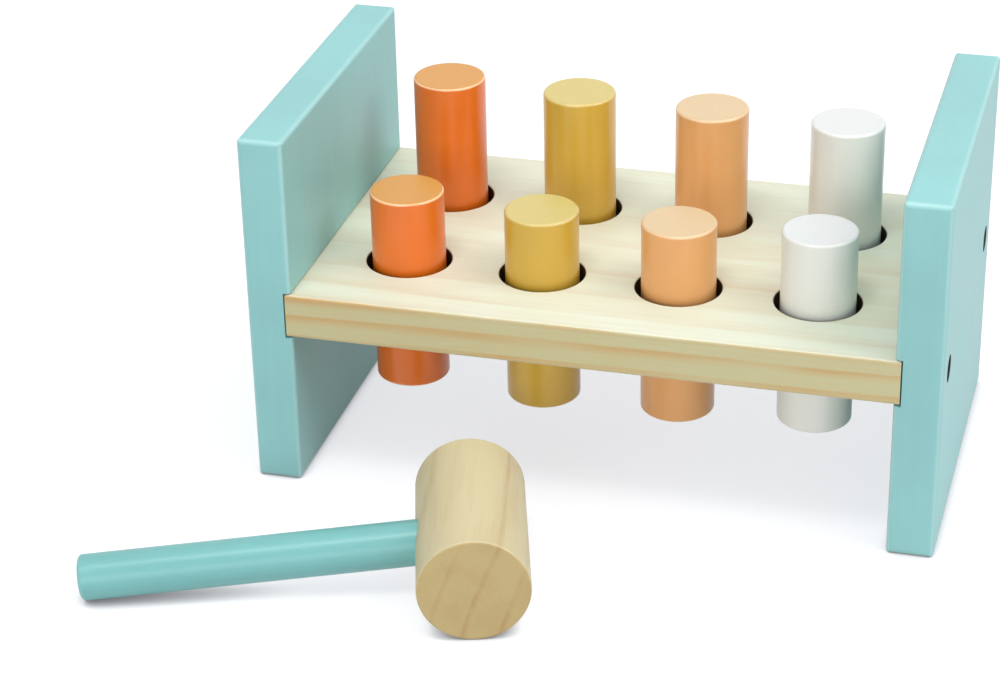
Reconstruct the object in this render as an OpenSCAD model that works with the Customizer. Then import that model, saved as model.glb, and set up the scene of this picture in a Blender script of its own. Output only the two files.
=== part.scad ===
// Peg pounding bench with eight pegs and a mallet, in millimetres, +Z up.
// Two end panels carry one plank. A soft ring in each hole of the plank grips a peg.

/* [Bench] */
// Length over both end panels
bench_length = 232; // [220:1:280]
// Depth of the panels and the plank, front to back
bench_depth = 125; // [114:1:150]
// Height of the end panels
bench_height = 126; // [124:1:150]
// Thickness of an end panel
panel_thickness = 15.5; // [13:0.5:20]
// Radius of the panels' eased edges
panel_edge_radius = 1.8; // [0.6:0.2:3]

/* [Plank] */
// Thickness of the plank
plank_thickness = 15.5; // [13:0.5:20]
// Radius of the plank's long edges
plank_edge_radius = 1; // [0.4:0.2:2]
// Depth of the housing across a panel's inner face
housing_depth = 2.5; // [1.5:0.25:4]
// Gap above and below the plank in its housing
housing_gap = 0.6; // [0.2:0.1:1]
// Gap between the plank's end and the bottom of its housing
end_gap = 0.5; // [0.1:0.1:0.9]

/* [Peg holes] */
// Distance from a panel to the axis of the nearest hole
end_margin = 30.5; // [28:0.5:36]
// Spacing of the two rows
row_pitch = 53; // [44:0.5:58]
// Diameter of a hole
hole_diameter = 29; // [27.5:0.25:30.5]
// Bevel at both mouths of a hole
hole_bevel = 0.4; // [0.2:0.1:1]

/* [Pegs] */
// Diameter of a peg
peg_diameter = 25; // [23:0.25:26]
// Length of a peg
peg_length = 69; // [60:0.5:69]
// Radius round both ends of a peg
peg_edge_radius = 1; // [0.6:0.2:4]
// Height of the front orange peg above the plank
front_orange_rise = 26; // [1:0.5:50]
// Height of the front yellow peg above the plank
front_yellow_rise = 23.5; // [1:0.5:50]
// Height of the front peach peg above the plank
front_peach_rise = 24; // [1:0.5:50]
// Height of the front white peg above the plank
front_white_rise = 26; // [1:0.5:50]
// Height of the back orange peg above the plank
back_orange_rise = 45.5; // [1:0.5:50]
// Height of the back yellow peg above the plank
back_yellow_rise = 44; // [1:0.5:50]
// Height of the back peach peg above the plank
back_peach_rise = 42.5; // [1:0.5:50]
// Height of the back white peg above the plank
back_white_rise = 41.5; // [1:0.5:50]

/* [Grip rings] */
// Thickness of a ring's round section
ring_section = 3; // [2.6:0.1:3.6]
// Radial running clearance of a peg in its ring
peg_clearance = 0.05; // [0.01:0.01:0.1]
// Play of a ring in its groove
ring_play = 0.02; // [0.01:0.01:0.05]

/* [Screws] */
// Distance of a screw from the panel's front or back edge
screw_inset = 14; // [12:0.5:16]
// Length of a screw below its head
screw_length = 24; // [20:0.5:24.5]
// Outer diameter of the thread
screw_diameter = 4; // [3.5:0.1:4.5]
// Core diameter of the thread
screw_core_diameter = 2.8; // [2.4:0.1:3.2]
// Pitch of the thread
screw_pitch = 1.8; // [1.4:0.1:2.4]
// Length of the tapered tip
screw_tip_length = 4; // [3:0.5:6]
// Diameter of the head
screw_head_diameter = 7.6; // [6:0.2:8]
// Height of the head
screw_head_height = 2.6; // [2.2:0.1:3.4]
// Depth of the cross recess in the head
recess_depth = 1.4; // [0.8:0.1:1.8]
// Width of one slot of the cross recess
recess_width = 1.2; // [0.8:0.1:1.6]
// Length of one slot of the cross recess
recess_length = 4.4; // [3:0.2:5]
// Diameter of the counterbore in the panel
counterbore_diameter = 9; // [8.4:0.2:11]
// Depth of the counterbore
counterbore_depth = 5; // [4:0.25:6.5]
// Radial gap round the screw in the panel
screw_hole_gap = 0.3; // [0.1:0.05:0.6]
// Radial gap round the thread's core in the plank
pilot_gap = 0.15; // [0.05:0.05:0.25]

/* [Mallet] */
// Diameter of the head
head_diameter = 36; // [30:0.5:44]
// Length of the head
head_length = 64; // [50:1:80]
// Radius round both ends of the head
head_edge_radius = 0.8; // [0.4:0.2:4]
// Diameter of the handle
handle_diameter = 15; // [12:0.25:18]
// Distance from the head's axis to the handle's free end
handle_reach = 126; // [100:1:160]
// How far the handle runs past the head's axis
handle_sink = 6; // [2:0.5:10]
// Radius round the handle's ends
handle_edge_radius = 1.4; // [0.8:0.2:4]
// Radial glue gap of the handle in the head
handle_gap = 0.05; // [0.01:0.01:0.1]
// Head's centre to the right of the bench's middle
mallet_x = -25; // [-60:1:40]
// Distance from the bench's front face to the head's centre
mallet_distance = 49.5; // [42:0.5:90]
// Turn of the mallet from square to the bench, in degrees
mallet_turn = 17; // [-20:1:30]

/* [Hidden] */
$fn = 96;

// The four hole columns run from left to right, and the front row is on the side of -Y.
COLUMNS = [-1.5, -0.5, 0.5, 1.5];
FRONT = -1;
BACK = 1;
LEFT = -1;
RIGHT = 1;
cut_margin = 1;

turquoise = [0.55, 0.77, 0.77];
orange = [0.88, 0.44, 0.18];
yellow = [0.83, 0.69, 0.33];
peach = [0.93, 0.68, 0.47];
white = [0.88, 0.88, 0.86];
pine = [0.89, 0.83, 0.67];
rubber = [0.12, 0.12, 0.12];
steel = [0.60, 0.60, 0.60];

housing_height = plank_thickness + 2 * housing_gap;
housing_span = bench_length - 2 * (panel_thickness - housing_depth);
plank_length = housing_span - 2 * end_gap;
plank_middle = bench_height / 2;
column_pitch = (bench_length - 2 * (panel_thickness + end_margin)) / (len(COLUMNS) - 1);
ring_radius = peg_diameter / 2 + peg_clearance + ring_section / 2;
screw_y = bench_depth / 2 - screw_inset;
screw_seat_x = bench_length / 2 - counterbore_depth;
pilot_diameter = screw_core_diameter + 2 * pilot_gap;
mallet_y = -bench_depth / 2 - mallet_distance;

// The mallet lies on its head and on the lower rim of the handle's free end.
handle_length = handle_reach + handle_sink;
handle_arm = handle_reach - handle_edge_radius;
handle_rim = handle_diameter / 2 - handle_edge_radius;
handle_slope = asin((head_diameter / 2 - handle_edge_radius) / norm([handle_arm, handle_rim]))
    - atan2(handle_rim, handle_arm);

// The origin is the middle of the floor area that the bench and the mallet take together.
handle_along_x = cos(handle_slope) * cos(mallet_turn);
handle_along_y = cos(handle_slope) * sin(mallet_turn);
handle_low_x = mallet_x - handle_arm * handle_along_x
    - handle_rim * sqrt(1 - pow(handle_along_x, 2)) - handle_edge_radius;
handle_low_y = mallet_y - handle_arm * handle_along_y
    - handle_rim * sqrt(1 - pow(handle_along_y, 2)) - handle_edge_radius;
head_low_y = mallet_y - (head_length / 2 - head_edge_radius) * cos(mallet_turn)
    - (head_diameter / 2 - head_edge_radius) * abs(sin(mallet_turn)) - head_edge_radius;
bench_x = -(min(handle_low_x, -bench_length / 2) + bench_length / 2) / 2;
bench_y = -(min(handle_low_y, head_low_y) + bench_depth / 2) / 2;

module rounded_rectangle(width, height, radius) {
    square([width - 2 * radius, height], center = true);
    square([width, height - 2 * radius], center = true);
    for (sx = [-1, 1], sy = [-1, 1])
        translate([sx * (width / 2 - radius), sy * (height / 2 - radius)])
            circle(r = radius);
}

module rounded_board(length, depth, height, radius) {
    intersection() {
        linear_extrude(height, center = true)
            rounded_rectangle(length, depth, radius);
        rotate([90, 0, 0])
            linear_extrude(depth, center = true)
                rounded_rectangle(length, height, radius);
        rotate([90, 0, 90])
            linear_extrude(length, center = true)
                rounded_rectangle(depth, height, radius);
    }
}

// A round rod from z = 0 upwards with both rims rounded
module rounded_rod(diameter, length, radius) {
    rotate_extrude() {
        square([diameter / 2 - radius, length]);
        translate([0, radius])
            square([diameter / 2, length - 2 * radius]);
        for (z = [radius, length - radius])
            translate([diameter / 2 - radius, z])
                circle(r = radius);
    }
}

module at_bench() {
    translate([bench_x, bench_y, 0])
        children();
}

module at_hole(column, row) {
    at_bench()
        translate([COLUMNS[column] * column_pitch, row * row_pitch / 2, plank_middle])
            children();
}

// Places a part that points along +Z on the axis of a screw, from the head's seat inwards.
module at_screw(side, row) {
    at_bench()
        translate([side * screw_seat_x, row * screw_y, plank_middle])
            rotate([0, -side * 90, 0])
                children();
}

module panel(side) {
    color(turquoise)
        difference() {
            at_bench()
                translate([side * (bench_length - panel_thickness) / 2, 0, bench_height / 2])
                    rounded_board(panel_thickness, bench_depth, bench_height, panel_edge_radius);
            at_bench()
                translate([0, 0, plank_middle])
                    cube([housing_span, bench_depth + 2 * cut_margin, housing_height], center = true);
            for (row = [FRONT, BACK])
                at_screw(side, row) {
                    cylinder(r = screw_diameter / 2 + screw_hole_gap, h = panel_thickness);
                    translate([0, 0, -counterbore_depth - cut_margin])
                        cylinder(d = counterbore_diameter, h = counterbore_depth + cut_margin);
                }
        }
}

module peg_hole() {
    cylinder(d = hole_diameter, h = plank_thickness + 2 * cut_margin, center = true);
    cylinder(r = ring_radius + ring_section / 2 + ring_play, h = ring_section + 2 * ring_play, center = true);
    for (turn = [0, 180])
        rotate([turn, 0, 0])
            translate([0, 0, plank_thickness / 2 - hole_bevel])
                cylinder(d1 = hole_diameter, d2 = hole_diameter + 4 * hole_bevel, h = 2 * hole_bevel);
}

module plank() {
    color(pine)
        difference() {
            at_bench()
                translate([0, 0, plank_middle])
                    rotate([90, 0, 90])
                        linear_extrude(plank_length, center = true)
                            rounded_rectangle(bench_depth, plank_thickness, plank_edge_radius);
            for (column = [0:len(COLUMNS) - 1], row = [FRONT, BACK])
                at_hole(column, row)
                    peg_hole();
            for (side = [LEFT, RIGHT], row = [FRONT, BACK])
                at_screw(side, row)
                    cylinder(d = pilot_diameter, h = screw_length + cut_margin);
        }
}

module peg(column, row, rise, paint) {
    color(paint)
        at_hole(column, row)
            translate([0, 0, plank_thickness / 2 + rise - peg_length])
                rounded_rod(peg_diameter, peg_length, peg_edge_radius);
}

module ring(column, row) {
    color(rubber)
        at_hole(column, row)
            rotate_extrude()
                translate([ring_radius, 0])
                    circle(d = ring_section);
}

module thread_turn() {
    cylinder(d1 = screw_core_diameter, d2 = screw_diameter, h = screw_pitch / 2);
    translate([0, 0, screw_pitch / 2])
        cylinder(d1 = screw_diameter, d2 = screw_core_diameter, h = screw_pitch / 2);
}

module screw(side, row) {
    plain_length = screw_seat_x - plank_length / 2;
    thread_length = screw_length - plain_length - screw_tip_length;
    turns = floor(thread_length / screw_pitch);
    color(steel)
        at_screw(side, row)
            difference() {
                union() {
                    translate([0, 0, -screw_head_height])
                        cylinder(d = screw_head_diameter, h = screw_head_height);
                    cylinder(d = screw_diameter, h = plain_length);
                    cylinder(d = screw_core_diameter, h = screw_length - screw_tip_length);
                    for (turn = [0:turns - 1])
                        translate([0, 0, plain_length + turn * screw_pitch])
                            thread_turn();
                    translate([0, 0, screw_length - screw_tip_length])
                        cylinder(d1 = screw_core_diameter, d2 = 0, h = screw_tip_length);
                }
                for (turn = [0, 90])
                    rotate([0, 0, turn])
                        translate([0, 0, -screw_head_height])
                            cube([recess_length, recess_width, 2 * recess_depth], center = true);
            }
}

module at_mallet() {
    at_bench()
        translate([mallet_x, mallet_y, head_diameter / 2])
            rotate([0, 0, mallet_turn])
                children();
}

// Points a part that stands along +Z down the handle, away from the head.
module along_handle() {
    at_mallet()
        rotate([0, -90 - handle_slope, 0])
            translate([0, 0, -handle_sink])
                children();
}

module mallet_head() {
    color(pine)
        difference() {
            at_mallet()
                rotate([90, 0, 0])
                    translate([0, 0, -head_length / 2])
                        rounded_rod(head_diameter, head_length, head_edge_radius);
            along_handle()
                cylinder(r = handle_diameter / 2 + handle_gap, h = handle_length);
        }
}

module mallet_handle() {
    color(turquoise)
        along_handle()
            rounded_rod(handle_diameter, handle_length, handle_edge_radius);
}

panel(LEFT);  // left_panel
panel(RIGHT);  // right_panel
plank();  // bench_plank
peg(0, FRONT, front_orange_rise, orange);  // peg_front_orange
peg(1, FRONT, front_yellow_rise, yellow);  // peg_front_yellow
peg(2, FRONT, front_peach_rise, peach);  // peg_front_peach
peg(3, FRONT, front_white_rise, white);  // peg_front_white
peg(0, BACK, back_orange_rise, orange);  // peg_back_orange
peg(1, BACK, back_yellow_rise, yellow);  // peg_back_yellow
peg(2, BACK, back_peach_rise, peach);  // peg_back_peach
peg(3, BACK, back_white_rise, white);  // peg_back_white
ring(0, FRONT);  // ring_front_1
ring(1, FRONT);  // ring_front_2
ring(2, FRONT);  // ring_front_3
ring(3, FRONT);  // ring_front_4
ring(0, BACK);  // ring_back_1
ring(1, BACK);  // ring_back_2
ring(2, BACK);  // ring_back_3
ring(3, BACK);  // ring_back_4
screw(LEFT, FRONT);  // screw_left_front
screw(LEFT, BACK);  // screw_left_back
screw(RIGHT, FRONT);  // screw_right_front
screw(RIGHT, BACK);  // screw_right_back
mallet_head();
mallet_handle();
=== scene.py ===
import math

import bpy
from mathutils import Matrix, Vector


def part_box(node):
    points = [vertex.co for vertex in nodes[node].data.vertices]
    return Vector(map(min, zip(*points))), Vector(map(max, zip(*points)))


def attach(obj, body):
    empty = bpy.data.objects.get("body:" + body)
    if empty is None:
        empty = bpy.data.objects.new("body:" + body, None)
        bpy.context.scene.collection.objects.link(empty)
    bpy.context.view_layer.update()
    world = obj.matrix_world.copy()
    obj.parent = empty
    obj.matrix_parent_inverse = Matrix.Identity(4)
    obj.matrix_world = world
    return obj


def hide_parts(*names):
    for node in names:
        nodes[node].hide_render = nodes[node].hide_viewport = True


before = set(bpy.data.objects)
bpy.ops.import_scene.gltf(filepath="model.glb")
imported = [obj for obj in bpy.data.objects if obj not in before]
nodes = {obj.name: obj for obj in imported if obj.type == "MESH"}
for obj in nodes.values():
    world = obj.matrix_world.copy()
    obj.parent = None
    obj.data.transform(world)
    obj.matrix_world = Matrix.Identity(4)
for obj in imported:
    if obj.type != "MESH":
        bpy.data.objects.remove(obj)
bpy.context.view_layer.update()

# End panels
# Two solid wood boards, sprayed with satin turquoise paint that is a little thinner on the eased
# edges, where a lighter colour also paints a highlight. Each stands on its lower edge and carries
# the plank in a shallow housing. The screws' counterbores have near-black painted shade on their walls.
# The thin colour lightens the eased edges: partly thinner paint, partly a painted highlight.
panel_paint = {
    "colour": (137, 195, 195),
    "thin_and_highlight_colour": (182, 220, 220),
    "thin_and_highlight_share": 0.55,
    "thin_and_highlight_reach": (0.0006, 0.0019),
    "satin": (0.40, 0.47),
    "specular": 0.7,
    "lacquer": 0.0,
}
panel_grain_cells = (300, 300, 9)
mottle_cells = (22, 22, 22)
mottle_detail = 3.0
uneven_cells = (90, 90, 90)
peel_cells = (520, 520, 520)
noise_middle = (0.3, 0.7)
paint_shades = (0.95, 1.05)
grain_share = 0.2
ragged_width = 0.0006
lacquer_roughness = 0.22
grain_relief = 0.8
paint_bump = 0.12
relief_height = 0.0003
# Near-black colour painted on the counterbore walls as shade.
counterbore_shade = (34, 33, 32)
counterbore_radius = 0.0045
bore_skin = (0.00005, 0.00025)
speckle_cells = (800, 800, 800)
speckle_shades = (0.988, 1.012)


def linear(colour):
    """Shader colour of an sRGB colour with channels from 0 to 255."""
    parts = [c / 255 for c in colour]
    return [p / 12.92 if p <= 0.04045 else ((p + 0.055) / 1.055) ** 2.4 for p in parts] + [1.0]


def scaled(colour, factor):
    """Shader colour of an sRGB colour, made darker or lighter by a factor."""
    return [min(1.0, part * factor) for part in linear(colour)[:3]] + [1.0]


def add(tree, kind, inputs=None, **settings):
    """Adds a node, sets its properties, and links or sets its inputs by name or number."""
    made = tree.nodes.new(kind)
    for name, value in settings.items():
        setattr(made, name, value)
    for key, value in (inputs or {}).items():
        if isinstance(value, bpy.types.NodeSocket):
            tree.links.new(value, made.inputs[key])
        else:
            made.inputs[key].default_value = value
    return made


def math_node(tree, operation, *values):
    return add(tree, "ShaderNodeMath", dict(enumerate(values)), operation=operation).outputs[0]


def noise(tree, position, cells_per_metre, detail=2.0):
    """Noise from 0 to 1 with a cell count of its own along each axis."""
    spread = add(tree, "ShaderNodeVectorMath", {0: position, 1: cells_per_metre}, operation="MULTIPLY")
    made = add(tree, "ShaderNodeTexNoise", {"Vector": spread.outputs[0], "Scale": 1.0, "Detail": detail})
    return made.outputs["Fac"]


def remap(tree, value, low, high, new_low, new_high):
    made = add(tree, "ShaderNodeMapRange", {0: value, 1: low, 2: high, 3: new_low, 4: new_high})
    made.interpolation_type = "SMOOTHSTEP"
    return made.outputs[0]


def spread(tree, value, new_low, new_high):
    """Stretches the middle of a noise over a range."""
    return remap(tree, value, *noise_middle, new_low, new_high)


def mix(tree, factor, first, second):
    made = add(tree, "ShaderNodeMix", data_type="RGBA")
    for socket, value in ((made.inputs[0], factor), (made.inputs[6], first), (made.inputs[7], second)):
        if isinstance(value, bpy.types.NodeSocket):
            tree.links.new(value, socket)
        else:
            socket.default_value = value
    return made.outputs[2]


def edge_of_box(tree, position, low, high):
    """Distance in from the nearest edge of a box: the second smallest gap to its three pairs of faces."""
    xyz = add(tree, "ShaderNodeSeparateXYZ", {0: position})
    gaps = []
    for axis in range(3):
        offset = math_node(tree, "SUBTRACT", xyz.outputs[axis], (low[axis] + high[axis]) / 2)
        reach = math_node(tree, "ABSOLUTE", offset)
        gaps.append(math_node(tree, "SUBTRACT", (high[axis] - low[axis]) / 2, reach))
    nearer = math_node(tree, "MINIMUM", gaps[0], gaps[1])
    farther = math_node(tree, "MAXIMUM", gaps[0], gaps[1])
    return math_node(tree, "MAXIMUM", nearer, math_node(tree, "MINIMUM", farther, gaps[2]))


def inside(tree, distance, radius):
    """1 within a bore's wall and 0 outside it."""
    return remap(tree, distance, radius + bore_skin[0], radius + bore_skin[1], 1.0, 0.0)


def raise_relief(tree, relief, strength):
    """Bends the shading by a pattern of heights."""
    bump = add(tree, "ShaderNodeBump", {"Strength": strength, "Distance": relief_height, "Height": relief})
    tree.links.new(bump.outputs[0], tree.nodes["Principled BSDF"].inputs["Normal"])


def painted_wood(name, paint, grain_cells, edge):
    """Satin paint on wood: mottling, grain that shows through, orange peel, and thin paint at edges,
    lightened there as a painted highlight.
    """
    material = bpy.data.materials.new(name)
    material.use_nodes = True
    tree = material.node_tree
    shader = tree.nodes["Principled BSDF"]
    shader.inputs["Specular IOR Level"].default_value = paint["specular"]
    shader.inputs["Coat Weight"].default_value = paint["lacquer"]
    shader.inputs["Coat Roughness"].default_value = lacquer_roughness
    position = add(tree, "ShaderNodeTexCoord").outputs["Object"]
    mottling = noise(tree, position, mottle_cells, mottle_detail)
    fibres = noise(tree, position, grain_cells)
    smooth_part = math_node(tree, "MULTIPLY", mottling, 1.0 - grain_share)
    clouds = math_node(tree, "MULTIPLY_ADD", fibres, grain_share, smooth_part)
    dark, light = [scaled(paint["colour"], shade) for shade in paint_shades]
    coat = mix(tree, spread(tree, clouds, 0.0, 1.0), dark, light)
    ragged = math_node(
        tree, "MULTIPLY_ADD", noise(tree, position, uneven_cells), ragged_width, edge(tree, position)
    )
    # Lighter colour at rims and eased edges: thinner paint and a painted highlight.
    thin_and_highlit = remap(tree, ragged, *paint["thin_and_highlight_reach"], paint["thin_and_highlight_share"], 0.0)
    coat = mix(tree, thin_and_highlit, coat, linear(paint["thin_and_highlight_colour"]))
    tree.links.new(coat, shader.inputs["Base Color"])
    tree.links.new(spread(tree, mottling, *paint["satin"]), shader.inputs["Roughness"])
    peel = noise(tree, position, peel_cells)
    raise_relief(tree, math_node(tree, "MULTIPLY_ADD", fibres, grain_relief, peel), paint_bump)
    return material, coat


def lay_over(material, coat, mask, colour):
    """Puts a second, finely speckled colour over a material's coat where the mask is 1."""
    tree = material.node_tree
    position = add(tree, "ShaderNodeTexCoord").outputs["Object"]
    dark, light = [scaled(colour, shade) for shade in speckle_shades]
    speckled = mix(tree, spread(tree, noise(tree, position, speckle_cells), 0.0, 1.0), dark, light)
    covered = mix(tree, mask(tree), coat, speckled)
    tree.links.new(covered, tree.nodes["Principled BSDF"].inputs["Base Color"])


screw_low, screw_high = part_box("screw_right_front")
far_screw_low, far_screw_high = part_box("screw_left_back")
screws_middle = (screw_low + screw_high + far_screw_low + far_screw_high) / 4
screw_row_distance = far_screw_low.y - screw_low.y


def screw_distance(tree):
    """Distance from the axis of the nearest screw."""
    position = add(tree, "ShaderNodeTexCoord").outputs["Object"]
    offset = add(tree, "ShaderNodeVectorMath", {0: position, 1: screws_middle}, operation="SUBTRACT")
    xyz = add(tree, "ShaderNodeSeparateXYZ", {0: offset.outputs[0]})
    row = math_node(tree, "ABSOLUTE", xyz.outputs["Y"])
    across = math_node(tree, "SUBTRACT", row, screw_row_distance / 2)
    flat = add(tree, "ShaderNodeCombineXYZ", {"X": across, "Y": xyz.outputs["Z"]})
    return add(tree, "ShaderNodeVectorMath", {0: flat.outputs[0]}, operation="LENGTH").outputs["Value"]


for panel in ("left_panel", "right_panel"):
    low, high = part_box(panel)
    material, coat = painted_wood(
        panel + "_paint",
        panel_paint,
        panel_grain_cells,
        lambda tree, place: edge_of_box(tree, place, low, high),
    )
    # Paints shade on the walls of the screws' counterbores.
    lay_over(
        material,
        coat,
        lambda tree: inside(tree, screw_distance(tree), counterbore_radius),
        counterbore_shade,
    )
    nodes[panel].material_slots[0].material = material

# Plank
# One flat-sawn pine board, sanded and left bare, with its growth rings running along the bench.
# Its ends sit in the panels' housings, and the walls of its eight holes carry a dark painted shade.
pine = {
    "early": (225, 230, 210),
    "late": (198, 152, 90),
    "cut": (197, 191, 148),
    "ring_width": 0.0062,
    "late_width": 0.55,
    "contrasts": (0.34, 1.0),
    "sway": 0.004,
    "bands": 0.06,
}
sway_cells = (6, 9, 9)
wander_cells = (16, 90, 90)
wander_width = 0.0009
broken_cells = (22, 130, 130)
broken_shares = (0.35, 1.0)
season_shares = (0.55, 1.0)
band_cells = (14, 120, 120)
patch_cells = (9, 40, 40)
patch_tones = (-0.04, 0.12)
fleck_cells = (60, 900, 900)
fleck_detail = 1.0
fleck_limits = (0.62, 0.74)
fleck_tone = 0.10
fibre_cells = (30, 1300, 1300)
fibre_tone = 0.14
cut_face_turn = (0.55, 0.85)
late_limit = 0.95
late_peak = 0.88
late_end = 0.97
sanded = (0.42, 0.56)
late_relief = 0.5
wood_bump = 0.15
# Dark brown painted on the walls of the peg holes as shade.
hole_wall_shade = (52, 38, 28)
peg_hole_radius = 0.0145


def late_wood_profile(tree, phase, width):
    """Late wood's share across one ring: a slow rise and a sudden end."""
    ramp = add(tree, "ShaderNodeValToRGB", {0: phase})
    first, last = ramp.color_ramp.elements
    first.position = late_limit - width
    first.color = (0, 0, 0, 1)
    last.position = late_peak
    last.color = (1, 1, 1, 1)
    ramp.color_ramp.elements.new(late_end).color = (0, 0, 0, 1)
    return ramp.outputs[0]


def bare_wood(name, timber, cut_axis, pith, turn):
    """Sanded softwood with rings round the pith, along the turned X axis, duller across cut_axis."""
    material = bpy.data.materials.new(name)
    material.use_nodes = True
    tree = material.node_tree
    shader = tree.nodes["Principled BSDF"]
    coordinates = add(tree, "ShaderNodeTexCoord")
    log = add(
        tree,
        "ShaderNodeMapping",
        {"Vector": coordinates.outputs["Object"], "Location": pith, "Rotation": turn},
        vector_type="TEXTURE",
    ).outputs[0]
    across = add(tree, "ShaderNodeVectorMath", {0: log, 1: (0, 1, 1)}, operation="MULTIPLY")
    radius = add(tree, "ShaderNodeVectorMath", {0: across.outputs[0]}, operation="LENGTH")
    swayed = math_node(
        tree, "MULTIPLY_ADD", noise(tree, log, sway_cells), timber["sway"], radius.outputs["Value"]
    )
    wandered = math_node(tree, "MULTIPLY_ADD", noise(tree, log, wander_cells), wander_width, swayed)
    years = math_node(tree, "DIVIDE", wandered, timber["ring_width"])
    late = late_wood_profile(tree, math_node(tree, "FRACT", years), timber["late_width"])
    year = math_node(tree, "FLOOR", years)
    season = add(tree, "ShaderNodeTexWhiteNoise", {"W": year}, noise_dimensions="1D").outputs["Value"]
    toward = add(
        tree,
        "ShaderNodeVectorMath",
        {0: coordinates.outputs["Normal"], 1: cut_axis},
        operation="DOT_PRODUCT",
    )
    facing = math_node(tree, "ABSOLUTE", toward.outputs["Value"])
    cut_face = remap(tree, facing, *cut_face_turn, 0.0, 1.0)
    contrast = remap(tree, cut_face, 0.0, 1.0, *timber["contrasts"])
    strength = math_node(tree, "MULTIPLY", remap(tree, season, 0.0, 1.0, *season_shares), contrast)
    broken = spread(tree, noise(tree, log, broken_cells), *broken_shares)
    late_share = math_node(tree, "MULTIPLY", late, math_node(tree, "MULTIPLY", strength, broken))
    fibres = noise(tree, log, fibre_cells)
    tone = late_share
    for layer in (
        remap(tree, noise(tree, log, fleck_cells, fleck_detail), *fleck_limits, 0.0, fleck_tone),
        spread(tree, noise(tree, log, patch_cells), *patch_tones),
        spread(tree, noise(tree, log, band_cells), -timber["bands"], timber["bands"]),
        math_node(tree, "MULTIPLY", math_node(tree, "SUBTRACT", fibres, 0.5), fibre_tone),
    ):
        tone = math_node(tree, "ADD", tone, layer)
    ground = mix(tree, cut_face, linear(timber["early"]), linear(timber["cut"]))
    wood = mix(tree, tone, ground, linear(timber["late"]))
    tree.links.new(wood, shader.inputs["Base Color"])
    tree.links.new(spread(tree, fibres, *sanded), shader.inputs["Roughness"])
    raise_relief(tree, math_node(tree, "MULTIPLY_ADD", late_share, late_relief, fibres), wood_bump)
    return material, wood


plank_low, plank_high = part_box("bench_plank")
plank_middle = (plank_low + plank_high) / 2
pith_below_plank = 0.1533
pith_behind_middle = 0.035
plank_slope = -0.009
plank_pith = plank_middle + Vector((0, pith_behind_middle, -pith_below_plank))
columns = 4
rows = 2
ring_low, ring_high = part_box("ring_front_1")
far_ring_low, far_ring_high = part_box("ring_back_4")
column_distance = (far_ring_low.x - ring_low.x) / (columns - 1)
row_distance = far_ring_low.y - ring_low.y


def hole_distance(tree):
    """Distance from the axis of the nearest of the eight holes, by folding the grid onto one of them."""
    position = add(tree, "ShaderNodeTexCoord").outputs["Object"]
    offset = add(tree, "ShaderNodeVectorMath", {0: position, 1: plank_middle}, operation="SUBTRACT")
    xyz = add(tree, "ShaderNodeSeparateXYZ", {0: offset.outputs[0]})
    half = math_node(tree, "ABSOLUTE", xyz.outputs["X"])
    pair = math_node(tree, "ABSOLUTE", math_node(tree, "SUBTRACT", half, column_distance))
    along = math_node(tree, "SUBTRACT", pair, column_distance / 2)
    row = math_node(tree, "ABSOLUTE", xyz.outputs["Y"])
    across = math_node(tree, "SUBTRACT", row, row_distance / 2)
    flat = add(tree, "ShaderNodeCombineXYZ", {"X": along, "Y": across})
    return add(tree, "ShaderNodeVectorMath", {0: flat.outputs[0]}, operation="LENGTH").outputs["Value"]


edge_axis = (0, 1, 0)
material, wood = bare_wood("plank_pine", pine, edge_axis, plank_pith, (0, plank_slope, 0))
# Paints shade on the walls of the eight holes.
lay_over(
    material,
    wood,
    lambda tree: inside(tree, hole_distance(tree), peg_hole_radius),
    hole_wall_shade,
)
nodes["bench_plank"].material_slots[0].material = material

# Grip rings
# A black rubber ring lies in a groove round each hole's wall and squeezes the peg, so that a peg stays
# where it was knocked to. All eight are the same moulding.
rubber = (34, 33, 33)
ring_section = ring_high.z - ring_low.z
ring_radius = (ring_high.x - ring_low.x - ring_section) / 2
ring_steps = 96
section_steps = 24
dust_cells = (400, 400, 400)
dust_detail = 3.0
dust_brightness = 2.2
rubber_sheen = (0.55, 0.8)
ring_material = bpy.data.materials.new("ring_rubber")
ring_material.use_nodes = True
tree = ring_material.node_tree
shader = tree.nodes["Principled BSDF"]
dust = noise(tree, add(tree, "ShaderNodeTexCoord").outputs["Object"], dust_cells, dust_detail)
dusty = mix(tree, dust, linear(rubber), scaled(rubber, dust_brightness))
tree.links.new(dusty, shader.inputs["Base Color"])
tree.links.new(spread(tree, dust, *rubber_sheen), shader.inputs["Roughness"])


def geometry_tree(name, sizes):
    """A node tree with a named input for each size, and its input and output nodes."""
    tree = bpy.data.node_groups.new(name, "GeometryNodeTree")
    for size, kind in sizes.items():
        tree.interface.new_socket(name=size, in_out="INPUT", socket_type=kind)
    tree.interface.new_socket(name="Geometry", in_out="OUTPUT", socket_type="NodeSocketGeometry")
    return tree, tree.nodes.new("NodeGroupInput"), tree.nodes.new("NodeGroupOutput")


def mesh_from_tree(name, tree, values):
    """Runs a tree once and keeps the result as a plain mesh object."""
    holder = bpy.data.objects.new(name + "_tree", bpy.data.meshes.new(name + "_tree"))
    bpy.context.scene.collection.objects.link(holder)
    modifier = holder.modifiers.new(name, "NODES")
    modifier.node_group = tree
    for socket in tree.interface.items_tree:
        if socket.in_out == "INPUT":
            modifier[socket.identifier] = values[socket.name]
    bpy.context.view_layer.update()
    made = bpy.data.meshes.new_from_object(holder.evaluated_get(bpy.context.evaluated_depsgraph_get()))
    holder.modifiers.remove(modifier)
    bpy.data.objects.remove(holder)
    piece = bpy.data.objects.new(name, made)
    bpy.context.scene.collection.objects.link(piece)
    return piece


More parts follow.
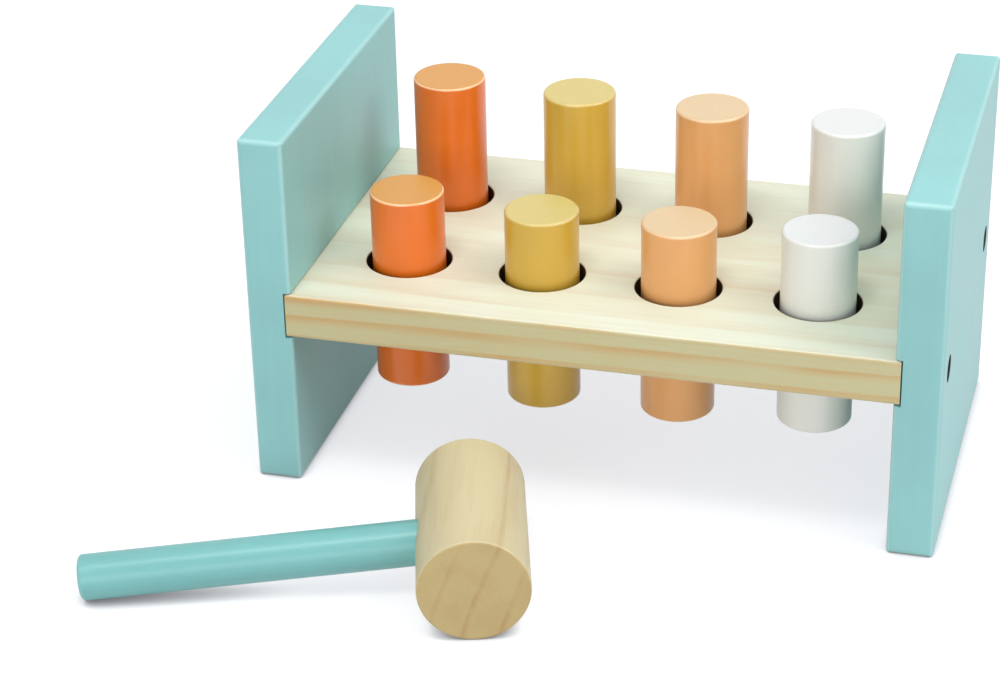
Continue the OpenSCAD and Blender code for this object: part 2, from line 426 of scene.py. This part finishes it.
ring_sizes = {
    "Ring radius": "NodeSocketFloat",
    "Section": "NodeSocketFloat",
    "Row length": "NodeSocketFloat",
    "Row distance": "NodeSocketFloat",
    "Middle": "NodeSocketVector",
}
tree, given, result = geometry_tree("grip_rings", ring_sizes)
circle = add(
    tree,
    "GeometryNodeCurvePrimitiveCircle",
    {"Resolution": ring_steps, "Radius": given.outputs["Ring radius"]},
)
section_radius = math_node(tree, "MULTIPLY", given.outputs["Section"], 0.5)
section = add(
    tree,
    "GeometryNodeCurvePrimitiveCircle",
    {"Resolution": section_steps, "Radius": section_radius},
)
tube = add(
    tree,
    "GeometryNodeCurveToMesh",
    {"Curve": circle.outputs["Curve"], "Profile Curve": section.outputs["Curve"]},
)
grid = add(
    tree,
    "GeometryNodeMeshGrid",
    {
        "Size X": given.outputs["Row length"],
        "Size Y": given.outputs["Row distance"],
        "Vertices X": columns,
        "Vertices Y": rows,
    },
)
placed = add(
    tree,
    "GeometryNodeInstanceOnPoints",
    {"Points": grid.outputs["Mesh"], "Instance": tube.outputs["Mesh"]},
)
moved = add(
    tree,
    "GeometryNodeTransform",
    {"Geometry": placed.outputs[0], "Translation": given.outputs["Middle"]},
)
real = add(tree, "GeometryNodeRealizeInstances", {"Geometry": moved.outputs[0]})
smooth = add(tree, "GeometryNodeSetShadeSmooth", {"Geometry": real.outputs[0]})
finished = add(
    tree, "GeometryNodeSetMaterial", {"Geometry": smooth.outputs[0], "Material": ring_material}
)
tree.links.new(finished.outputs[0], result.inputs[0])
rings = mesh_from_tree(
    "grip_rings",
    tree,
    {
        "Ring radius": ring_radius,
        "Section": ring_section,
        "Row length": (columns - 1) * column_distance,
        "Row distance": row_distance,
        "Middle": (ring_low + far_ring_high) / 2,
    },
)
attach(rings, "bench")
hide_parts(*[f"ring_{row}_{column}" for row in ("front", "back") for column in (1, 2, 3, 4)])

# Screws
# Steel wood screws with a cross recess hold each panel to the plank's end, two to a panel, with their
# heads sunk in counterbores.
head_diameter = screw_high.y - screw_low.y
head_height = 0.0026
thread_diameter = 0.0040
core_diameter = 0.0028
thread_pitch = 0.0018
plain_length = 0.0085
tip_length = 0.0040
recess_length = 0.0044
recess_width = 0.0012
recess_depth = 0.0014
rod_sides = 48
turn_steps = 32
ridge_sides = 4
steel = (168, 167, 164)
tarnish_cells = (900, 900, 900)
tarnish_detail = 3.0
tarnish_shade = 0.45
steel_sheen = (0.28, 0.5)
screw_material = bpy.data.materials.new("screw_steel")
screw_material.use_nodes = True
tree = screw_material.node_tree
shader = tree.nodes["Principled BSDF"]
shader.inputs["Metallic"].default_value = 1.0
tarnish = noise(tree, add(tree, "ShaderNodeTexCoord").outputs["Object"], tarnish_cells, tarnish_detail)
tarnished = mix(tree, tarnish, linear(steel), scaled(steel, tarnish_shade))
tree.links.new(tarnished, shader.inputs["Base Color"])
tree.links.new(spread(tree, tarnish, *steel_sheen), shader.inputs["Roughness"])

screw_sizes = {
    "Length": "NodeSocketFloat",
    "Plain length": "NodeSocketFloat",
    "Thread radius": "NodeSocketFloat",
    "Core radius": "NodeSocketFloat",
    "Pitch": "NodeSocketFloat",
    "Tip length": "NodeSocketFloat",
    "Head radius": "NodeSocketFloat",
    "Head height": "NodeSocketFloat",
    "Recess": "NodeSocketVector",
    "Seat distance": "NodeSocketFloat",
    "Row distance": "NodeSocketFloat",
    "Middle": "NodeSocketVector",
}


def along_z(tree, height):
    return add(tree, "ShaderNodeCombineXYZ", {"Z": height}).outputs[0]


def moved_by(tree, geometry, offset):
    return add(tree, "GeometryNodeTransform", {"Geometry": geometry, "Translation": offset}).outputs[0]


def rod(tree, radius, length, start):
    """A round bar along +Z from the height start."""
    bar = add(tree, "GeometryNodeMeshCylinder", {"Vertices": rod_sides, "Radius": radius, "Depth": length})
    middle = math_node(tree, "MULTIPLY_ADD", length, 0.5, start)
    return moved_by(tree, bar.outputs["Mesh"], along_z(tree, middle))


tree, given, result = geometry_tree("wood_screws", screw_sizes)
head_start = math_node(tree, "MULTIPLY", given.outputs["Head height"], -1.0)
core_length = math_node(tree, "SUBTRACT", given.outputs["Length"], given.outputs["Tip length"])
thread_length = math_node(tree, "SUBTRACT", core_length, given.outputs["Plain length"])
helix = add(
    tree,
    "GeometryNodeCurveSpiral",
    {
        "Resolution": turn_steps,
        "Rotations": math_node(tree, "DIVIDE", thread_length, given.outputs["Pitch"]),
        "Start Radius": given.outputs["Core radius"],
        "End Radius": given.outputs["Core radius"],
        "Height": thread_length,
    },
)
ridge_height = math_node(tree, "SUBTRACT", given.outputs["Thread radius"], given.outputs["Core radius"])
ridge = add(tree, "GeometryNodeCurvePrimitiveCircle", {"Resolution": ridge_sides, "Radius": ridge_height})
thread = add(
    tree,
    "GeometryNodeCurveToMesh",
    {"Curve": helix.outputs[0], "Profile Curve": ridge.outputs["Curve"], "Fill Caps": True},
)
tip = add(
    tree,
    "GeometryNodeMeshCone",
    {
        "Vertices": rod_sides,
        "Radius Top": 0.0,
        "Radius Bottom": given.outputs["Core radius"],
        "Depth": given.outputs["Tip length"],
    },
)
bars = add(tree, "GeometryNodeJoinGeometry")
for bar in (
    rod(tree, given.outputs["Thread radius"], given.outputs["Plain length"], 0.0),
    rod(tree, given.outputs["Core radius"], core_length, 0.0),
    moved_by(tree, thread.outputs["Mesh"], along_z(tree, given.outputs["Plain length"])),
    moved_by(tree, tip.outputs["Mesh"], along_z(tree, core_length)),
):
    tree.links.new(bar, bars.inputs[0])
head = rod(tree, given.outputs["Head radius"], given.outputs["Head height"], head_start)
recess_box = add(tree, "GeometryNodeMeshCube", {"Size": given.outputs["Recess"]})
slot_one = moved_by(tree, recess_box.outputs["Mesh"], along_z(tree, head_start))
slot_two = add(tree, "GeometryNodeTransform", {"Geometry": slot_one, "Rotation": (0, 0, math.pi / 2)})
cut_head = add(tree, "GeometryNodeMeshBoolean", {"Mesh 1": head}, operation="DIFFERENCE", solver="EXACT")
tree.links.new(slot_one, cut_head.inputs["Mesh 2"])
tree.links.new(slot_two.outputs[0], cut_head.inputs["Mesh 2"])
tree.links.new(cut_head.outputs["Mesh"], bars.inputs[0])
corners = add(
    tree,
    "GeometryNodeMeshGrid",
    {
        "Size X": given.outputs["Seat distance"],
        "Size Y": given.outputs["Row distance"],
        "Vertices X": 2,
        "Vertices Y": 2,
    },
)
place = add(tree, "ShaderNodeSeparateXYZ", {0: add(tree, "GeometryNodeInputPosition").outputs[0]})
side = math_node(tree, "SIGN", place.outputs["X"])
lean = math_node(tree, "MULTIPLY", side, -math.pi / 2)
inward = add(tree, "ShaderNodeCombineXYZ", {"Y": lean})
placed = add(
    tree,
    "GeometryNodeInstanceOnPoints",
    {"Points": corners.outputs["Mesh"], "Instance": bars.outputs[0], "Rotation": inward.outputs[0]},
)
moved = moved_by(tree, placed.outputs[0], given.outputs["Middle"])
real = add(tree, "GeometryNodeRealizeInstances", {"Geometry": moved})
finished = add(
    tree, "GeometryNodeSetMaterial", {"Geometry": real.outputs[0], "Material": screw_material}
)
tree.links.new(finished.outputs[0], result.inputs[0])
screws = mesh_from_tree(
    "wood_screws",
    tree,
    {
        "Length": screw_high.x - screw_low.x - head_height,
        "Plain length": plain_length,
        "Thread radius": thread_diameter / 2,
        "Core radius": core_diameter / 2,
        "Pitch": thread_pitch,
        "Tip length": tip_length,
        "Head radius": head_diameter / 2,
        "Head height": head_height,
        "Recess": (recess_length, recess_width, 2 * recess_depth),
        "Seat distance": screw_high.x - far_screw_low.x - 2 * head_height,
        "Row distance": screw_row_distance,
        "Middle": screws_middle,
    },
)
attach(screws, "bench")
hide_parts(*[f"screw_{side}_{row}" for side in ("left", "right") for row in ("front", "back")])

# Pegs
# Turned hardwood pegs with rounded rims, dipped in satin paint, a colour to each pair of holes. They
# slide in the rings and stand clear of the holes' walls.
# On the pegs the thin colour is mostly a painted highlight along each rim.
peg_finish = {
    "thin_and_highlight_share": 0.85,
    "thin_and_highlight_reach": (0.0006, 0.0013),
    "satin": (0.29, 0.36),
    "specular": 0.5,
    "lacquer": 0.2,
}
# The end colour is a painted reflection of the bright room on each peg's flat ends.
peg_paints = {
    "orange": {"colour": (229, 112, 26), "thin_and_highlight_colour": (250, 214, 168), "end_reflection_colour": (210, 146, 56)},
    "yellow": {"colour": (209, 168, 62), "thin_and_highlight_colour": (216, 197, 134), "end_reflection_colour": (207, 188, 110)},
    "peach": {"colour": (228, 165, 102), "thin_and_highlight_colour": (232, 203, 164), "end_reflection_colour": (218, 190, 148)},
    "white": {"colour": (230, 230, 223), "thin_and_highlight_colour": (229, 230, 226), "end_reflection_colour": (220, 222, 222)},
}
peg_grain_cells = (260, 260, 12)
end_reflection_turn = (0.75, 0.98)


def edge_of_rod(tree, position, turn, middle, radius, length):
    """Distance in from the nearest rim of a round rod whose axis is the turned Z axis."""
    own = add(
        tree,
        "ShaderNodeMapping",
        {"Vector": position, "Location": middle, "Rotation": turn},
        vector_type="TEXTURE",
    )
    xyz = add(tree, "ShaderNodeSeparateXYZ", {0: own.outputs[0]})
    flat = add(tree, "ShaderNodeVectorMath", {0: own.outputs[0], 1: (1, 1, 0)}, operation="MULTIPLY")
    out = add(tree, "ShaderNodeVectorMath", {0: flat.outputs[0]}, operation="LENGTH").outputs["Value"]
    side_gap = math_node(tree, "SUBTRACT", radius, out)
    end_gap = math_node(tree, "SUBTRACT", length / 2, math_node(tree, "ABSOLUTE", xyz.outputs["Z"]))
    return math_node(tree, "MAXIMUM", side_gap, end_gap)


def painted_end_reflection(tree):
    """1 on a peg's flat ends, which are painted paler as a reflection of the bright room."""
    normal = add(tree, "ShaderNodeTexCoord").outputs["Normal"]
    upright = add(tree, "ShaderNodeSeparateXYZ", {0: normal}).outputs["Z"]
    return remap(tree, math_node(tree, "ABSOLUTE", upright), *end_reflection_turn, 0.0, 1.0)


for colour, paint in peg_paints.items():
    for row in ("front", "back"):
        peg = f"peg_{row}_{colour}"
        low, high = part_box(peg)
        middle = (low + high) / 2
        radius = (high.x - low.x) / 2
        length = high.z - low.z
        material, coat = painted_wood(
            peg + "_paint",
            {**peg_finish, **paint},
            peg_grain_cells,
            lambda tree, place: edge_of_rod(tree, place, (0, 0, 0), middle, radius, length),
        )
        # Paints a paler reflection of the room over the flat ends.
        lay_over(material, coat, painted_end_reflection, paint["end_reflection_colour"])
        nodes[peg].material_slots[0].material = material

# Mallet
# A bare softwood cylinder, sawn with the grain along its length, on a round handle that is painted
# like the panels and glued into a bore.
mallet_turn = math.radians(17)
head_timber = {
    "early": (209, 196, 157),
    "late": (166, 128, 78),
    "cut": (189, 168, 117),
    "ring_width": 0.0111,
    "late_width": 0.22,
    "contrasts": (0.38, 0.60),
    "sway": 0.003,
    "bands": 0.12,
}
pith_distance = 0.2013
pith_angle = math.radians(20)
head_grain_slope = math.radians(5.6)
head_low, head_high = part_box("mallet_head")
head_middle = (head_low + head_high) / 2
head_axis = Matrix.Rotation(mallet_turn, 3, "Z") @ Vector((0, 1, 0))
pith_from_axis = Matrix.Rotation(pith_angle, 3, "Y") @ Vector((pith_distance, 0, 0))
head_pith = head_middle + Matrix.Rotation(mallet_turn, 3, "Z") @ pith_from_axis
head_grain_turn = (0, 0, mallet_turn + math.pi / 2 - head_grain_slope)
material, wood = bare_wood("mallet_wood", head_timber, head_axis, head_pith, head_grain_turn)
nodes["mallet_head"].material_slots[0].material = material

# The thin colour on the handle's rounded ends is thinner paint and a painted highlight.
handle_paint = {
    **panel_paint,
    "colour": (117, 180, 179),
    "thin_and_highlight_colour": (150, 200, 200),
    "specular": 0.3,
    "lacquer": 0.25,
}
handle_grain_cells = (14, 420, 420)
handle_radius = 0.0075
handle_length = 0.132
handle_slope = math.radians(4.844)
handle_turn = (0, -math.pi / 2 - handle_slope, mallet_turn)
handle_low, handle_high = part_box("mallet_handle")
handle_middle = (handle_low + handle_high) / 2
material, coat = painted_wood(
    "handle_paint",
    handle_paint,
    handle_grain_cells,
    lambda tree, place: edge_of_rod(
        tree, place, handle_turn, handle_middle, handle_radius, handle_length
    ),
)
nodes["mallet_handle"].material_slots[0].material = material

# Studio
# A white table before a white backdrop, lit by large soft boxes overhead, in front and to the right
# and by a smaller key lamp high before the bench. The camera's side of the room is dimmer.
floor_size = 6.0
floor_white = (0.6, 0.6, 0.6, 1)
shadow_depth = (0.42, 0.42, 0.42, 1)
shadow_lift = (0.945, 0.955, 1.0, 1)
lift_strength = 0.71
shadow_reach = 0.4
contact_reach = 0.007
contact_shade = 0.2
contact_open = 0.8
black = (0, 0, 0, 1)
white = (1, 1, 1, 1)
floor_mesh = bpy.data.meshes.new("floor")
half = floor_size / 2
floor_corners = [(-half, -half, 0), (half, -half, 0), (half, half, 0), (-half, half, 0)]
floor_mesh.from_pydata(floor_corners, [], [(0, 1, 2, 3)])
floor = bpy.data.objects.new("floor", floor_mesh)
bpy.context.scene.collection.objects.link(floor)
floor_material = bpy.data.materials.new("floor_white")
floor_material.use_nodes = True
tree = floor_material.node_tree
tree.nodes.clear()
paper = add(tree, "ShaderNodeBsdfDiffuse", {"Color": floor_white})
# Ambient occlusion darkens the floor's colour and its lift where parts touch it: a painted contact shadow.
contact = add(tree, "ShaderNodeAmbientOcclusion", {"Distance": contact_reach})
ao_painted_shade = remap(tree, contact.outputs["AO"], 0.0, contact_open, contact_shade, 1.0)
shaded_colour = mix(tree, ao_painted_shade, black, shadow_depth)
shaded = add(tree, "ShaderNodeBsdfDiffuse", {"Color": shaded_colour})
lift_level = math_node(tree, "MULTIPLY", ao_painted_shade, lift_strength)
lift = add(tree, "ShaderNodeEmission", {"Color": shadow_lift, "Strength": lift_level})
near = add(tree, "ShaderNodeAddShader", {0: shaded.outputs[0], 1: lift.outputs[0]})
place = add(tree, "ShaderNodeTexCoord").outputs["Object"]
distance = add(tree, "ShaderNodeVectorMath", {0: place}, operation="LENGTH").outputs["Value"]
fade = remap(tree, distance, shadow_reach, 2 * shadow_reach, 0.0, 1.0)
far = add(tree, "ShaderNodeEmission", {"Color": white, "Strength": 1.0})
seen = add(tree, "ShaderNodeMixShader", {0: fade, 1: near.outputs[0], 2: far.outputs[0]})
ray = add(tree, "ShaderNodeLightPath")
direct = math_node(tree, "MAXIMUM", ray.outputs["Is Camera Ray"], ray.outputs["Is Glossy Ray"])
choice = add(tree, "ShaderNodeMixShader", {0: direct, 1: paper.outputs[0], 2: seen.outputs[0]})
add(tree, "ShaderNodeOutputMaterial", {"Surface": choice.outputs[0]})
floor_mesh.materials.append(floor_material)

dim_side = 0.24
bright_side = 0.52
backdrop_direction = (0.25, 0.75, 0.6)
diffuse_turn = (-0.6, 0.6)
glossy_turn = (-0.6, 0.3)
world = bpy.data.worlds.new("white_room")
world.use_nodes = True
bpy.context.scene.world = world
tree = world.node_tree
tree.nodes.clear()
ray = add(tree, "ShaderNodeLightPath")
seen = math_node(tree, "MAXIMUM", ray.outputs["Is Camera Ray"], ray.outputs["Is Transmission Ray"])
direction = add(tree, "ShaderNodeTexCoord").outputs["Generated"]
backdrop = add(
    tree,
    "ShaderNodeVectorMath",
    {0: direction, 1: backdrop_direction},
    operation="DOT_PRODUCT",
)
diffuse_level = remap(tree, backdrop.outputs["Value"], *diffuse_turn, dim_side, bright_side)
glossy_level = remap(tree, backdrop.outputs["Value"], *glossy_turn, dim_side, 1.0)
lit = add(tree, "ShaderNodeMix", {0: ray.outputs["Is Glossy Ray"], 2: diffuse_level, 3: glossy_level})
level = add(tree, "ShaderNodeMix", {0: seen, 2: lit.outputs[0], 3: 1.0})
room = add(tree, "ShaderNodeBackground", {"Color": white, "Strength": level.outputs[0]})
add(tree, "ShaderNodeOutputWorld", {"Surface": room.outputs[0]})

bench_middle = Vector((plank_middle.x, plank_middle.y, 0))


def soft_box(name, place, size, power):
    """A lamp with a rectangular diffuser, turned to the bench from a place beside it."""
    lamp = bpy.data.lights.new(name, "AREA")
    lamp.shape = "RECTANGLE"
    lamp.size, lamp.size_y = size
    lamp.energy = power
    holder = bpy.data.objects.new(name, lamp)
    bpy.context.scene.collection.objects.link(holder)
    holder.location = bench_middle + Vector(place)
    holder.rotation_mode = "QUATERNION"
    holder.rotation_quaternion = (-Vector(place)).to_track_quat("-Z", "Y")


soft_box("overhead", place=(0.35, -0.05, 1.5), size=(1.8, 1.5), power=8.1)
soft_box("key", place=(-0.15, -0.55, 1.5), size=(0.6, 0.3), power=5.5)
soft_box("front", place=(-0.18, -1.7, 0.45), size=(1.2, 0.8), power=11.4)
soft_box("right", place=(1.1, -0.15, 1.15), size=(0.8, 0.8), power=8.0)

# Camera
# It stands to the right of the bench and looks down at it, turned a little about its own axis as in
# the photograph.
camera_azimuth = math.radians(16.030)
camera_elevation = math.radians(28.062)
camera_roll = math.radians(-1.340)
camera_distance = 0.95457
camera_sensor = 36
camera_lens = 100.15
camera_aim = bench_middle + Vector((-0.03933, -0.02452, 0.03916))
back = Vector(
    (
        math.sin(camera_azimuth) * math.cos(camera_elevation),
        -math.cos(camera_azimuth) * math.cos(camera_elevation),
        math.sin(camera_elevation),
    )
)
camera = bpy.data.objects.new("camera", bpy.data.cameras.new("camera"))
bpy.context.scene.collection.objects.link(camera)
camera.data.sensor_fit = "HORIZONTAL"
camera.data.sensor_width = camera_sensor
camera.data.lens = camera_lens
camera.location = camera_aim + back * camera_distance
turned = (-back).to_track_quat("-Z", "Y").to_matrix() @ Matrix.Rotation(camera_roll, 3, "Z")
camera.rotation_mode = "QUATERNION"
camera.rotation_quaternion = turned.to_quaternion()
bpy.context.scene.camera = camera
bpy.context.scene.view_settings.view_transform = "Standard"
